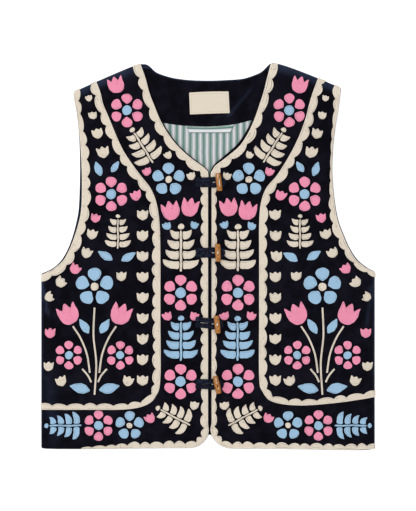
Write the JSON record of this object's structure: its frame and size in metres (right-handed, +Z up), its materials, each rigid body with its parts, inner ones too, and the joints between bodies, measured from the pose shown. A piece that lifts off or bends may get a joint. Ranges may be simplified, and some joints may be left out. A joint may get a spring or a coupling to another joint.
{
  "type": "embroidered waistcoat",
  "caption": "Sleeveless velvet waistcoat laid flat, fronts closed over the back by cord loops on wooden toggles, with raised floral embroidery, scalloped borders and a faced neck.",
  "frame": {"origin": "middle of the laid garment's footprint, on the surface it lies on", "axes": "+X to the wearer's left, which is the right as seen from above; +Y from the hem to the shoulders; +Z up, away from the surface"},
  "size_m": [0.5028, 0.5804, 0.0177],
  "materials": {
    "embroidered_velvet": "cotton velvet pile with chain-stitched motifs",
    "velvet": "cotton velvet pile",
    "striped_lining": "soft woven stripe",
    "label": "plain woven tape",
    "cord": "buttonhole-stitched thread",
    "wood": "carved, lightly polished"
  },
  "bodies": {
    "root": {"front_left": "embroidered_velvet", "front_right": "embroidered_velvet", "back": "velvet", "neck_facing": "velvet", "lining": "striped_lining", "hanger_loop": "striped_lining", "label": "label", "loop_1": "cord", "loop_2": "cord", "loop_3": "cord", "loop_4": "cord", "toggle_1": "wood", "toggle_2": "wood", "toggle_3": "wood", "toggle_4": "wood"}
  },
  "joints": []
}
